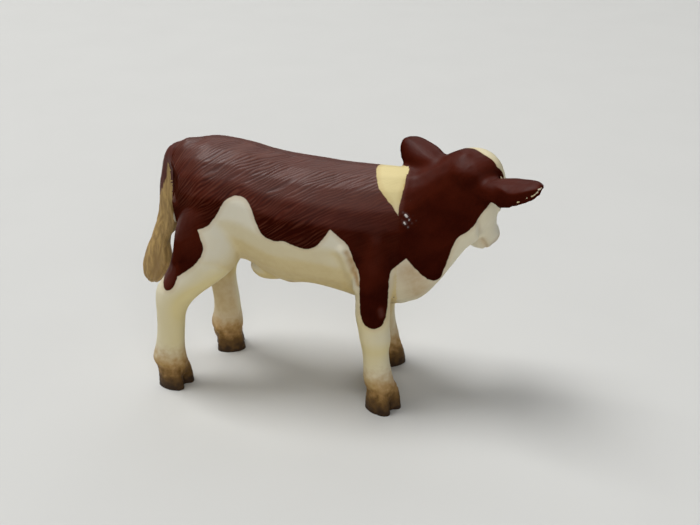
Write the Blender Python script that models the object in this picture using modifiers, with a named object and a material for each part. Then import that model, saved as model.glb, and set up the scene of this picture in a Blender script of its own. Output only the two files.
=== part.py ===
"""A toy calf of moulded PVC, standing with its head turned to its left.

The figure is bonded from nine solid mouldings: a trunk, a head with its neck, two ears, a tail
and four legs. Each bonded moulding has a round locating peg that sits in a socket of the
moulding that carries it. Blender units are metres, X points to the front, Y to the calf's left
and Z up. The soles stand on Z = 0.

The forms are lofts between unlike sections. Trunk, neck, head and legs are fused into one cast
body and smoothed, as a sculptor would, and the body is then parted at its seams. Ears and tail
are lofts of their own, trimmed to the skin that they are bonded to.
"""

import math

import bmesh
import bpy
from mathutils import Matrix, Vector
from mathutils.bvhtree import BVHTree

PART_NAME = "toy_calf"

# Driving dimensions of the body
POLL_HEIGHT = 0.0500  # ground to poll
BODY_LENGTH = 0.0500  # rump to breast
BARREL_DEPTH = 0.0250  # back to belly
BARREL_WIDTH = 0.0200
NECK_LENGTH = 0.0125  # withers to poll
NECK_WIDTH = 0.0120
NAVEL_LENGTH = 0.0080
NAVEL_WIDTH = 0.0044
NAVEL_DEPTH = 0.0040

# Driving dimensions of the head, in its own frame: X to the muzzle, Y left, Z out of the forehead
HEAD_LENGTH = 0.0200
HEAD_DEPTH = 0.0100
HEAD_WIDTH = 0.0106
HEAD_ASIDE = 0.0010  # how far the head's middle lies to the right of the body's
HEAD_TURN = math.radians(74)
HEAD_DROP = math.radians(61)
HEAD_TILT = math.radians(14)  # right side down
EYE_DIAMETER = 0.0026
MUZZLE_PAD = 0.0038  # across one nostril's side of the muzzle

# Driving dimensions of the ears and the tail
EAR_LENGTH = 0.0108
EAR_WIDTH = 0.0077
EAR_THICKNESS = 0.0021
EAR_CUP = 0.0009  # how far the rims of an ear stand in front of its middle
TAIL_LENGTH = 0.0260
TAIL_DEPTH = 0.0046  # front to back at the tuft
TAIL_WIDTH = 0.0036  # side to side at the tuft

# Driving dimensions of the legs
STANCE_WIDTH = 0.0165  # between the middles of a right and a left sole
LEG_DEPTH = 0.0050  # a cannon, front to back
LEG_WIDTH = 0.0050  # a cannon, side to side
HOOF_LENGTH = 0.0058
CLAW_WIDTH = 0.0030
DEWCLAW_DIAMETER = 0.0015
LEFT_HIND_STEP = 0.0065  # how far the left hind foot stands before the right one
LEFT_FORE_STEP = -0.0014
FORE_TOE_OUT = math.radians(32)
HIND_TOE_OUT = math.radians(20)

# Driving dimensions of the bonded seams
SEAM_GAP = 0.0003
PEG_CLEARANCE = 0.0003
NECK_PEG_DIAMETER = 0.0060
NECK_PEG_LENGTH = 0.0030
LEG_PEG_DIAMETER = 0.0028
LEG_PEG_LENGTH = 0.0024
SMALL_PEG_DIAMETER = 0.0012  # ears and tail
SMALL_PEG_LENGTH = 0.0016
PEG_ROOT = 0.0009  # how deep a peg is rooted in its own piece

# Fineness of the cast
RING_POINTS = 20
RINGS_BETWEEN = 4
CAST_GRAIN = 0.0004
CASTING_SCALE = 1000  # Blender thins faces well only on forms that are metres across
SMOOTHING_ROUNDS = 8
SMOOTHING_SHARE = 0.5  # of the way to the middle of its neighbours that a point moves in a round
FACES_KEPT_SHARE = 0.080
LIMB_FACES_KEPT_SHARE = 0.16
PEG_SIDES = 20
OVERRUN = 0.0020  # how far a cut runs past what it cuts

# Trunk sections: place along BODY_LENGTH, top over POLL_HEIGHT, depth over BARREL_DEPTH,
# width over BARREL_WIDTH
TRUNK_SHARES = (
    (0.052, 0.856, 0.10, 0.12),
    (0.066, 0.884, 0.42, 0.37),
    (0.096, 0.926, 0.74, 0.60),
    (0.150, 0.956, 0.88, 0.80),
    (0.220, 0.970, 0.93, 0.98),
    (0.340, 0.956, 0.90, 0.96),
    (0.420, 0.936, 0.94, 1.00),
    (0.500, 0.922, 0.97, 1.02),
    (0.600, 0.912, 0.96, 1.03),
    (0.700, 0.904, 0.99, 0.98),
    (0.800, 0.902, 1.05, 0.91),
    (0.890, 0.902, 1.07, 0.81),
    (0.960, 0.900, 1.03, 0.68),
    (1.020, 0.886, 0.87, 0.50),
)
NAVEL_PLACE_SHARE = 0.413  # along BODY_LENGTH

# Neck sections from the withers on: nape (along NECK_LENGTH, over POLL_HEIGHT), throat (along
# NECK_LENGTH, over the rise from the breast to the poll), aside over HEAD_ASIDE, width over
# NECK_WIDTH
WITHERS_SHARE = 0.90
NECK_SHARES = (
    (-0.16, 0.870, -0.16, 0.016, 0.0, 1.30),
    (0.20, 0.900, 0.30, 0.031, 0.0, 1.18),
    (0.48, 0.938, 0.60, 0.152, 0.0, 1.06),
    (0.72, 0.974, 0.82, 0.289, -0.2, 0.96),
    (0.92, 0.994, 1.00, 0.400, -0.5, 0.88),
    (1.06, 0.980, 1.16, 0.454, -0.5, 0.78),
)

# Head sections: place along HEAD_LENGTH, forehead and jaw over HEAD_DEPTH, width over HEAD_WIDTH
HEAD_SHARES = (
    (-0.17, 0.00, -0.16, 0.22),
    (-0.14, 0.22, -0.34, 0.56),
    (-0.07, 0.43, -0.46, 0.84),
    (0.05, 0.54, -0.54, 1.00),
    (0.22, 0.54, -0.62, 1.06),
    (0.40, 0.42, -0.60, 0.92),
    (0.55, 0.30, -0.52, 0.70),
    (0.70, 0.25, -0.45, 0.60),
    (0.81, 0.23, -0.42, 0.62),
    (0.89, 0.15, -0.34, 0.52),
    (0.93, 0.00, -0.17, 0.24),
)
HEAD_PLACE_SHARES = (1.01, 0.916)  # along NECK_LENGTH, over POLL_HEIGHT
EYE_PLACE_SHARES = (0.27, 0.96, 0.10)  # along the length, over half the width, over the depth
PAD_PLACE_SHARES = (0.83, 0.28, -0.02)

# Ear sections: place along EAR_LENGTH, front and rear rim over EAR_WIDTH, thickness share
EAR_SHARES = (
    (-0.20, -0.22, 0.22, 1.10),
    (0.00, -0.30, 0.28, 1.20),
    (0.19, -0.38, 0.34, 1.15),
    (0.42, -0.43, 0.42, 1.05),
    (0.66, -0.42, 0.42, 0.90),
    (0.85, -0.37, 0.29, 0.80),
    (0.96, -0.24, 0.14, 0.60),
    (1.00, -0.06, 0.02, 0.30),
)
EAR_PLACE_SHARES = (-0.03, 0.82, -0.26)  # along the head, over half its width, over its depth
# How far an ear leans from square to the head: to the poll, to the forehead, and round itself
RIGHT_EAR_LEAN = (math.radians(17), math.radians(9), math.radians(4))
LEFT_EAR_LEAN = (math.radians(2), math.radians(12), math.radians(-12))

# Tail sections from the root down: drop over TAIL_LENGTH, back over TAIL_DEPTH, depth and width
TAIL_SHARES = (
    (-0.080, -0.54, 0.52, 0.66),
    (-0.042, -0.20, 0.50, 0.64),
    (0.020, 0.04, 0.56, 0.62),
    (0.090, 0.14, 0.62, 0.62),
    (0.196, 0.25, 0.68, 0.64),
    (0.315, 0.29, 0.76, 0.66),
    (0.435, 0.39, 0.80, 0.70),
    (0.600, 0.70, 0.82, 0.86),
    (0.727, 0.94, 1.00, 1.00),
    (0.854, 1.15, 1.06, 1.02),
    (0.946, 1.26, 0.84, 0.88),
    (1.004, 1.30, 0.28, 0.32),
)
TAIL_ROOT_SHARES = (0.052, 0.872)  # along BODY_LENGTH, over POLL_HEIGHT
TAIL_PEG_RISE = math.radians(31)  # how steeply the tail's peg climbs into the trunk

# Leg sections: height over POLL_HEIGHT, rear and front edge over LEG_DEPTH from the leg's
# line, aside over half of STANCE_WIDTH, width over LEG_WIDTH, share of the step
FORE_LINE_SHARE = 0.85  # along BODY_LENGTH
FORE_LEG_SHARES = (
    (0.700, -1.00, 0.50, 0.66, 1.30, 0.0),
    (0.620, -1.00, 0.58, 0.72, 1.44, 0.0),
    (0.530, -0.92, 0.54, 0.84, 1.44, 0.1),
    (0.460, -0.84, 0.48, 0.91, 1.32, 0.3),
    (0.390, -0.82, 0.46, 0.96, 1.20, 0.6),
    (0.340, -0.72, 0.46, 0.98, 1.12, 0.8),
    (0.290, -0.64, 0.52, 1.00, 1.10, 1.0),
    (0.240, -0.54, 0.46, 1.00, 0.98, 1.0),
    (0.180, -0.50, 0.52, 1.00, 0.96, 1.0),
    (0.130, -0.50, 0.64, 1.00, 1.08, 1.0),
    (0.090, -0.38, 0.70, 1.00, 1.00, 1.0),
    (0.050, -0.34, 0.70, 1.00, 0.96, 1.0),
)
HIND_LINE_SHARE = 0.06
HIND_LEG_SHARES = (
    (0.860, 0.90, 2.40, 0.52, 1.24, 0.0),
    (0.770, 0.80, 2.66, 0.66, 1.62, 0.0),
    (0.670, 0.40, 2.80, 0.76, 1.74, 0.0),
    (0.580, 0.25, 2.74, 0.84, 1.74, 0.05),
    (0.520, 0.08, 2.52, 0.87, 1.60, 0.15),
    (0.470, -0.16, 2.00, 0.91, 1.44, 0.30),
    (0.426, -0.46, 1.44, 0.93, 1.32, 0.44),
    (0.376, -0.54, 0.92, 0.95, 1.16, 0.60),
    (0.320, -0.54, 0.60, 0.96, 1.04, 0.78),
    (0.240, -0.60, 0.48, 0.95, 0.98, 0.94),
    (0.170, -0.74, 0.42, 0.94, 0.96, 1.04),
    (0.116, -0.90, 0.44, 0.93, 1.10, 1.06),
    (0.080, -0.78, 0.46, 0.92, 1.00, 1.02),
    (0.050, -0.72, 0.44, 0.92, 0.96, 1.00),
)

# Claw sections: height over POLL_HEIGHT, heel and toe over HOOF_LENGTH, width over CLAW_WIDTH
CLAW_SHARES = (
    (0.100, -0.36, 0.34, 0.60),
    (0.070, -0.44, 0.42, 0.90),
    (0.030, -0.48, 0.50, 1.00),
    (0.000, -0.50, 0.54, 1.06),
    (-0.040, -0.50, 0.58, 1.08),
)
CLAW_SPREAD_SHARE = 0.52  # of CLAW_WIDTH, from the middle of the hoof
DEWCLAW_PLACE_SHARES = (-0.42, 0.098)  # over HOOF_LENGTH behind the middle, over POLL_HEIGHT
FORE_HOOF_SHARE = 0.26  # of LEG_DEPTH, before the leg's line
HIND_HOOF_SHARE = -0.06

# Seams. Legs: where along BODY_LENGTH the belly is that the seam is measured from, then the
# seam's inner and outer end, over half of STANCE_WIDTH and from the belly over BARREL_DEPTH
FORE_SEAM_SHARES = (0.80, (0.40, -0.03), (1.70, 0.33))
HIND_SEAM_SHARES = (0.25, (0.40, -0.17), (1.70, 0.23))
FORE_ROOM_SHARES = (-1.40, 1.20)  # over LEG_DEPTH from the leg's line, what a leg is cut from
HIND_ROOM_SHARES = (-1.40, 3.20)
FORE_PEG_SHARES = (-0.18, 0.92)  # over LEG_DEPTH from the line, over half of STANCE_WIDTH
HIND_PEG_SHARES = (0.70, 0.92)
# Neck: foot and head of the seam along BODY_LENGTH. The foot is under the breast
NECK_SEAM_SHARES = (0.908, 0.942)
NECK_SEAM_FOOT_SHARE = -0.10  # from the belly, over BARREL_DEPTH
NECK_SEAM_HEAD_SHARE = 1.10  # over POLL_HEIGHT
NECK_PEG_SHARE = 0.66  # over POLL_HEIGHT

BROWN = (0.062, 0.020, 0.013, 1.0)
CREAM = (0.560, 0.480, 0.290, 1.0)
TAN = (0.300, 0.200, 0.080, 1.0)
PAINT_ROUGHNESS = 0.42


def between(rows, steps):
    """Rows of numbers with more rows between them, on a smooth curve through the given ones."""
    dense = []
    last = len(rows) - 1
    for index in range(last):
        before = rows[max(index - 1, 0)]
        here = rows[index]
        there = rows[index + 1]
        after = rows[min(index + 2, last)]
        for step in range(steps):
            t = step / steps
            dense.append([
                0.5 * (2 * b + (c - a) * t + (2 * a - 5 * b + 4 * c - d) * t ** 2
                       + (3 * b - a - 3 * c + d) * t ** 3)
                for a, b, c, d in zip(before, here, there, after)
            ])
    dense.append(list(rows[last]))
    return dense


def loft(rows, matrix=Matrix(), cup=0.0):
    """A closed solid through ellipses. A row is two ends of a section in the XZ plane, as
    x, z, x, z, then its middle in Y and its width in Y. A cup bends each section's ends to -Y."""
    bm = bmesh.new()
    rings = []
    for x1, z1, x2, z2, y, width in between(rows, RINGS_BETWEEN):
        middle = Vector(((x1 + x2) / 2, y, (z1 + z2) / 2))
        ends = Vector((x2 - x1, 0, z2 - z1))
        along = ends.normalized()
        place = Matrix.Translation(middle) @ Matrix((
            (along.x, 0, along.z, 0),
            (0, width / ends.length, 0, 0),
            (along.z, 0, -along.x, 0),
            (0, 0, 0, 1),
        ))
        half = ends.length / 2
        made = bmesh.ops.create_circle(bm, segments=RING_POINTS, radius=half, matrix=Matrix())
        for vert in made["verts"]:
            bend = cup * (vert.co.x / half) ** 2
            vert.co = place @ vert.co
            vert.co.y -= bend
        rings.append(made["verts"])
    rims = [list({edge for vert in ring for edge in vert.link_edges}) for ring in rings]
    for rim, following in zip(rims, rims[1:]):
        bmesh.ops.bridge_loops(bm, edges=rim + following)
    bmesh.ops.contextual_create(bm, geom=rims[0])
    bmesh.ops.contextual_create(bm, geom=rims[-1])
    bmesh.ops.transform(bm, matrix=matrix, verts=bm.verts)
    bmesh.ops.recalc_face_normals(bm, faces=bm.faces)
    return bm


def ball(length, width, height, matrix):
    """An ellipsoid with the given sizes along X, Y and Z of the matrix."""
    bm = bmesh.new()
    squash = Matrix.Diagonal((1, width / length, height / length, 1))
    bmesh.ops.create_uvsphere(
        bm, u_segments=RING_POINTS, v_segments=RING_POINTS // 2, radius=length / 2,
        matrix=matrix @ squash,
    )
    return bm


def cylinder(diameter, start, end):
    """A round bar between two points."""
    axis = end - start
    turn = axis.to_track_quat("Z", "X").to_matrix().to_4x4()
    bm = bmesh.new()
    bmesh.ops.create_cone(
        bm, cap_ends=True, segments=PEG_SIDES, radius1=diameter / 2, radius2=diameter / 2,
        depth=axis.length, matrix=Matrix.Translation((start + end) / 2) @ turn,
    )
    return bm


def grown(outline, by):
    """A convex outline with every side moved outwards, for points that run anticlockwise."""
    lines = []
    for start, end in zip(outline, outline[1:] + outline[:1]):
        along = (end - start).normalized()
        out = Vector((along.y, -along.x)) * by
        lines.append((start + out, along))
    corners = []
    for (point, along), (other, other_along) in zip(lines[-1:] + lines[:-1], lines):
        reach = (other - point).cross(other_along) / along.cross(other_along)
        corners.append(point + along * reach)
    return corners


def prism(outline, start, end, matrix):
    """A flat outline in XY, drawn out along Z from start to end, then placed by the matrix."""
    bm = bmesh.new()
    face = bm.faces.new([bm.verts.new((point.x, point.y, start)) for point in outline])
    drawn = bmesh.ops.extrude_face_region(bm, geom=[face])
    tops = [part for part in drawn["geom"] if isinstance(part, bmesh.types.BMVert)]
    bmesh.ops.translate(bm, vec=(0, 0, end - start), verts=tops)
    bmesh.ops.transform(bm, matrix=matrix, verts=bm.verts)
    bmesh.ops.recalc_face_normals(bm, faces=bm.faces)
    return bm


# A prism's XY outline laid in the body's YZ plane, drawn along X, and in XZ, drawn along Y
IN_YZ = Matrix(((0, 0, 1, 0), (1, 0, 0, 0), (0, 1, 0, 0), (0, 0, 0, 1)))
IN_XZ = Matrix(((1, 0, 0, 0), (0, 0, 1, 0), (0, 1, 0, 0), (0, 0, 0, 1)))


def along_body(share):
    """A place along the body, whose middle is at X = 0."""
    return (share - 0.5) * BODY_LENGTH


def belly_height(share):
    """How high the underside of the trunk is, at a share of the body's length."""
    for (start, top, depth, _), (end, next_top, next_depth, _) in zip(TRUNK_SHARES, TRUNK_SHARES[1:]):
        if start <= share <= end:
            t = (share - start) / (end - start)
            top += (next_top - top) * t
            depth += (next_depth - depth) * t
            return top * POLL_HEIGHT - depth * BARREL_DEPTH
    raise ValueError("the trunk has no section there")


def trunk_form():
    rows = []
    for along, top, depth, width in TRUNK_SHARES:
        x = along_body(along)
        z = top * POLL_HEIGHT
        rows.append((x, z, x, z - depth * BARREL_DEPTH, 0, width * BARREL_WIDTH))
    return loft(rows)


def navel_form():
    height = belly_height(NAVEL_PLACE_SHARE)
    place = Matrix.Translation((along_body(NAVEL_PLACE_SHARE), 0, height))
    return ball(NAVEL_LENGTH, NAVEL_WIDTH, NAVEL_DEPTH, place)


def neck_form():
    withers = along_body(WITHERS_SHARE)
    breast = belly_height(WITHERS_SHARE)
    rows = []
    for nape_x, nape_z, throat_x, throat_rise, aside, width in NECK_SHARES:
        rows.append((
            withers + nape_x * NECK_LENGTH, nape_z * POLL_HEIGHT,
            withers + throat_x * NECK_LENGTH, breast + throat_rise * (POLL_HEIGHT - breast),
            aside * HEAD_ASIDE, width * NECK_WIDTH,
        ))
    return loft(rows)


def head_frame():
    """The head's own frame: X to the muzzle, Y to the head's left, Z out of the forehead."""
    along, height = HEAD_PLACE_SHARES
    place = Vector((
        along_body(WITHERS_SHARE) + along * NECK_LENGTH, -HEAD_ASIDE, height * POLL_HEIGHT
    ))
    turn = Matrix.Rotation(HEAD_TURN, 4, "Z") @ Matrix.Rotation(HEAD_DROP, 4, "Y")
    return Matrix.Translation(place) @ turn @ Matrix.Rotation(HEAD_TILT, 4, "X")


def in_head(shares, side=1):
    """A point of the head from shares of its length, half its width and its depth."""
    along, aside, out = shares
    return Vector((along * HEAD_LENGTH, side * aside * HEAD_WIDTH / 2, out * HEAD_DEPTH))


def head_forms():
    frame = head_frame()
    rows = []
    for along, forehead, jaw, width in HEAD_SHARES:
        x = along * HEAD_LENGTH
        rows.append((x, forehead * HEAD_DEPTH, x, jaw * HEAD_DEPTH, 0, width * HEAD_WIDTH))
    forms = [loft(rows, frame)]
    for side in (-1, 1):
        eye = Matrix.Translation(in_head(EYE_PLACE_SHARES, side))
        forms.append(ball(EYE_DIAMETER, EYE_DIAMETER, EYE_DIAMETER, frame @ eye))
        pad = Matrix.Translation(in_head(PAD_PLACE_SHARES, side))
        forms.append(ball(MUZZLE_PAD, MUZZLE_PAD, MUZZLE_PAD, frame @ pad))
    return forms


def leg_forms(shares, line_share, hoof_share, toe_out, side, step):
    """One leg with the two claws of its hoof. The claws run below the ground, to be cut flat."""
    line = along_body(line_share)
    rows = []
    for height, rear, front, aside, width, step_share in shares:
        x = line + step_share * step
        z = height * POLL_HEIGHT
        rows.append((
            x + rear * LEG_DEPTH, z, x + front * LEG_DEPTH, z,
            side * aside * STANCE_WIDTH / 2, width * LEG_WIDTH,
        ))
    forms = [loft(rows)]
    sole = Vector((line + step + hoof_share * LEG_DEPTH, side * shares[-1][3] * STANCE_WIDTH / 2, 0))
    foot = Matrix.Translation(sole) @ Matrix.Rotation(side * toe_out, 4, "Z")
    for claw in (-1, 1):
        forms.append(loft([
            (heel * HOOF_LENGTH, height * POLL_HEIGHT, toe * HOOF_LENGTH, height * POLL_HEIGHT,
             claw * CLAW_SPREAD_SHARE * CLAW_WIDTH, width * CLAW_WIDTH)
            for height, heel, toe, width in CLAW_SHARES
        ], foot))
        back, height = DEWCLAW_PLACE_SHARES
        dewclaw = foot @ Matrix.Translation((
            back * HOOF_LENGTH, claw * CLAW_SPREAD_SHARE * CLAW_WIDTH, height * POLL_HEIGHT
        ))
        forms.append(ball(DEWCLAW_DIAMETER, DEWCLAW_DIAMETER, DEWCLAW_DIAMETER, dewclaw))
    return forms


def ear_frame(side, lean):
    """An ear's own frame: X out along the ear, Z across it and Y towards its back."""
    sweep, rise, roll = lean
    root = head_frame() @ Matrix.Translation(in_head(EAR_PLACE_SHARES, side))
    out = Vector((-math.sin(sweep), side * math.cos(sweep), math.sin(rise))).normalized()
    back = Vector((-1, 0, 0))
    back = (back - out * back.dot(out)).normalized()
    back = back * math.cos(roll) + out.cross(back) * side * math.sin(roll)
    across = out.cross(back)
    return root @ Matrix((out, back, across)).transposed().to_4x4()


def ear_form(side, frame):
    rows = []
    for along, front, rear, thickness in EAR_SHARES:
        x = along * EAR_LENGTH
        ends = (x, front * EAR_WIDTH, x, rear * EAR_WIDTH)
        if side > 0:
            ends = (x, -front * EAR_WIDTH, x, -rear * EAR_WIDTH)
        rows.append((*ends, 0, thickness * EAR_THICKNESS))
    return loft(rows, frame, EAR_CUP)


def tail_root():
    along, height = TAIL_ROOT_SHARES
    return Vector((along_body(along), 0, height * POLL_HEIGHT))


def tail_form():
    """The tail hangs from its root. Its sections turn with its curve."""
    root = tail_root()
    middles = []
    for drop, back, depth, width in TAIL_SHARES:
        middles.append(Vector((root.x - back * TAIL_DEPTH, 0, root.z - drop * TAIL_LENGTH)))
    rows = []
    for index, (drop, back, depth, width) in enumerate(TAIL_SHARES):
        ahead = middles[min(index + 1, len(middles) - 1)]
        behind = middles[max(index - 1, 0)]
        along = (ahead - behind).normalized()
        across = Vector((-along.z, 0, along.x)) * depth * TAIL_DEPTH / 2
        front = middles[index] + across
        rear = middles[index] - across
        rows.append((rear.x, rear.z, front.x, front.z, 0, width * TAIL_WIDTH))
    return loft(rows)


def painted(name, colour):
    material = bpy.data.materials.new(name + "_paint")
    material.use_nodes = True
    shader = material.node_tree.nodes["Principled BSDF"]
    shader.inputs["Base Color"].default_value = colour
    shader.inputs["Roughness"].default_value = PAINT_ROUGHNESS
    return material


def add_piece(name, mesh, colour):
    piece = bpy.data.objects.new(name, mesh)
    mesh.materials.clear()
    mesh.materials.append(painted(name, colour))
    bpy.data.collections[PART_NAME].objects.link(piece)
    return piece


def add_tool(name, mesh):
    """A helper that pieces are cut or joined with. It isn't part of the figure."""
    tool = bpy.data.objects.new(name, mesh)
    tool.hide_render = True
    tool.display_type = "WIRE"
    bpy.data.collections["cutters"].objects.link(tool)
    return tool


def one_mesh(name, forms):
    """One mesh that holds every given bmesh, which are freed."""
    joined = bmesh.new()
    for form in forms:
        loose = bpy.data.meshes.new(name)
        form.to_mesh(loose)
        form.free()
        joined.from_mesh(loose)
        bpy.data.meshes.remove(loose)
    mesh = bpy.data.meshes.new(name)
    joined.to_mesh(mesh)
    joined.free()
    return mesh


def combine(target, operation, name, form):
    """Cuts or joins an object with a helper made from one form."""
    modifier = target.modifiers.new(name, "BOOLEAN")
    modifier.operation = operation
    modifier.object = add_tool(name, one_mesh(name, [form]))
    modifier.solver = "EXACT"


def trim_to(target, other):
    """Cuts a bonded piece back to one seam gap outside the skin of what carries it."""
    skin = add_tool(other.name + "_skin", other.data.copy())
    swell = skin.modifiers.new("swell", "DISPLACE")
    swell.strength = SEAM_GAP
    swell.mid_level = 0
    modifier = target.modifiers.new(skin.name, "BOOLEAN")
    modifier.operation = "DIFFERENCE"
    modifier.object = skin
    modifier.solver = "EXACT"


def settle(target):
    """Replaces an object's mesh by what its modifiers make of it, and drops them."""
    graph = bpy.context.evaluated_depsgraph_get()
    made = bpy.data.meshes.new_from_object(target.evaluated_get(graph))
    target.modifiers.clear()
    old = target.data
    target.data = made
    made.name = target.name
    bpy.data.meshes.remove(old)


def cast(target, grain, kept_share):
    """Fuses an object's overlapping forms, smooths them and thins the faces, at a large scale."""
    target.data.transform(Matrix.Scale(CASTING_SCALE, 4))
    fuse = target.modifiers.new("fuse", "REMESH")
    fuse.mode = "VOXEL"
    fuse.voxel_size = grain * CASTING_SCALE
    smooth = target.modifiers.new("smooth", "SMOOTH")
    smooth.factor = SMOOTHING_SHARE
    smooth.iterations = SMOOTHING_ROUNDS
    thin = target.modifiers.new("thin", "DECIMATE")
    thin.ratio = kept_share
    settle(target)
    target.data.transform(Matrix.Scale(1 / CASTING_SCALE, 4))


def seam_ends(seam_shares):
    """The two ends of a leg's seam in the YZ plane, for a left leg."""
    belly_share, *ends = seam_shares
    belly = belly_height(belly_share)
    return [
        Vector((aside * STANCE_WIDTH / 2, belly + height * BARREL_DEPTH)) for aside, height in ends
    ]


def leg_block(seam_shares, room_shares, line_share, side, floor, grow):
    """The block of space that one leg is parted from the body with. Its slanted top is the seam."""
    inner, outer = seam_ends(seam_shares)
    outline = grown([Vector((inner.x, floor)), Vector((outer.x, floor)), outer, inner], grow)
    if side < 0:
        outline = [Vector((-point.x, point.y)) for point in outline]
    rear, front = [along_body(line_share) + share * LEG_DEPTH for share in room_shares]
    return prism(outline, rear - grow, front + grow, IN_YZ)


def leg_peg_axis(seam_shares, peg_shares, line_share, side):
    """The point of the seam that a leg's peg is centred on, and the way up into the body."""
    inner, outer = seam_ends(seam_shares)
    lean = (outer - inner).normalized()
    along, aside = peg_shares
    out = aside * STANCE_WIDTH / 2
    height = inner.y + (out - inner.x) * lean.y / lean.x
    point = Vector((along_body(line_share) + along * LEG_DEPTH, side * out, height))
    return point, Vector((0, -side * lean.y, lean.x))


def neck_outline():
    """The outline of the block that the head and neck are parted with, in the XZ plane."""
    foot, head = NECK_SEAM_SHARES
    low = belly_height(foot) + NECK_SEAM_FOOT_SHARE * BARREL_DEPTH
    high = NECK_SEAM_HEAD_SHARE * POLL_HEIGHT
    reach = along_body(WITHERS_SHARE) + NECK_LENGTH + HEAD_LENGTH + EAR_LENGTH
    return [
        Vector((along_body(foot), low)),
        Vector((reach, low)),
        Vector((reach, high)),
        Vector((along_body(head), high)),
    ]


def neck_block(grow):
    reach = BARREL_WIDTH + HEAD_LENGTH
    return prism(grown(neck_outline(), grow), -reach, reach, IN_XZ)


def neck_peg_axis():
    foot, _, _, head = neck_outline()
    height = NECK_PEG_SHARE * POLL_HEIGHT
    lean = (head - foot).normalized()
    point = foot + (head - foot) * (height - foot.y) / (head.y - foot.y)
    return Vector((point.x, 0, point.y)), Vector((-lean.y, 0, lean.x))


def peg(diameter, length, point, into):
    """A peg that stands out of a seam at a point, in a direction, rooted in its own piece."""
    return cylinder(diameter, point - into * (SEAM_GAP + PEG_ROOT), point + into * length)


def socket(diameter, length, point, into):
    """Room for a peg, with clearance round it and past its end."""
    return cylinder(
        diameter + 2 * PEG_CLEARANCE, point - into * OVERRUN, point + into * (length + PEG_CLEARANCE)
    )


def skin_point(target, start, into):
    """Where a line from outside meets the skin of a piece."""
    form = bmesh.new()
    form.from_mesh(target.data)
    tree = BVHTree.FromBMesh(form)
    form.free()
    return tree.ray_cast(start, into)[0]


def centre():
    """Moves everything so that the figure's box stands on the origin by the middle of its base."""
    pieces = bpy.data.collections[PART_NAME].objects
    places = [vert.co for piece in pieces for vert in piece.data.vertices]
    low = [min(place[axis] for place in places) for axis in range(3)]
    high = [max(place[axis] for place in places) for axis in range(3)]
    shift = Matrix.Translation((-(low[0] + high[0]) / 2, -(low[1] + high[1]) / 2, -low[2]))
    for thing in bpy.data.objects:
        thing.data.transform(shift)


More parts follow.
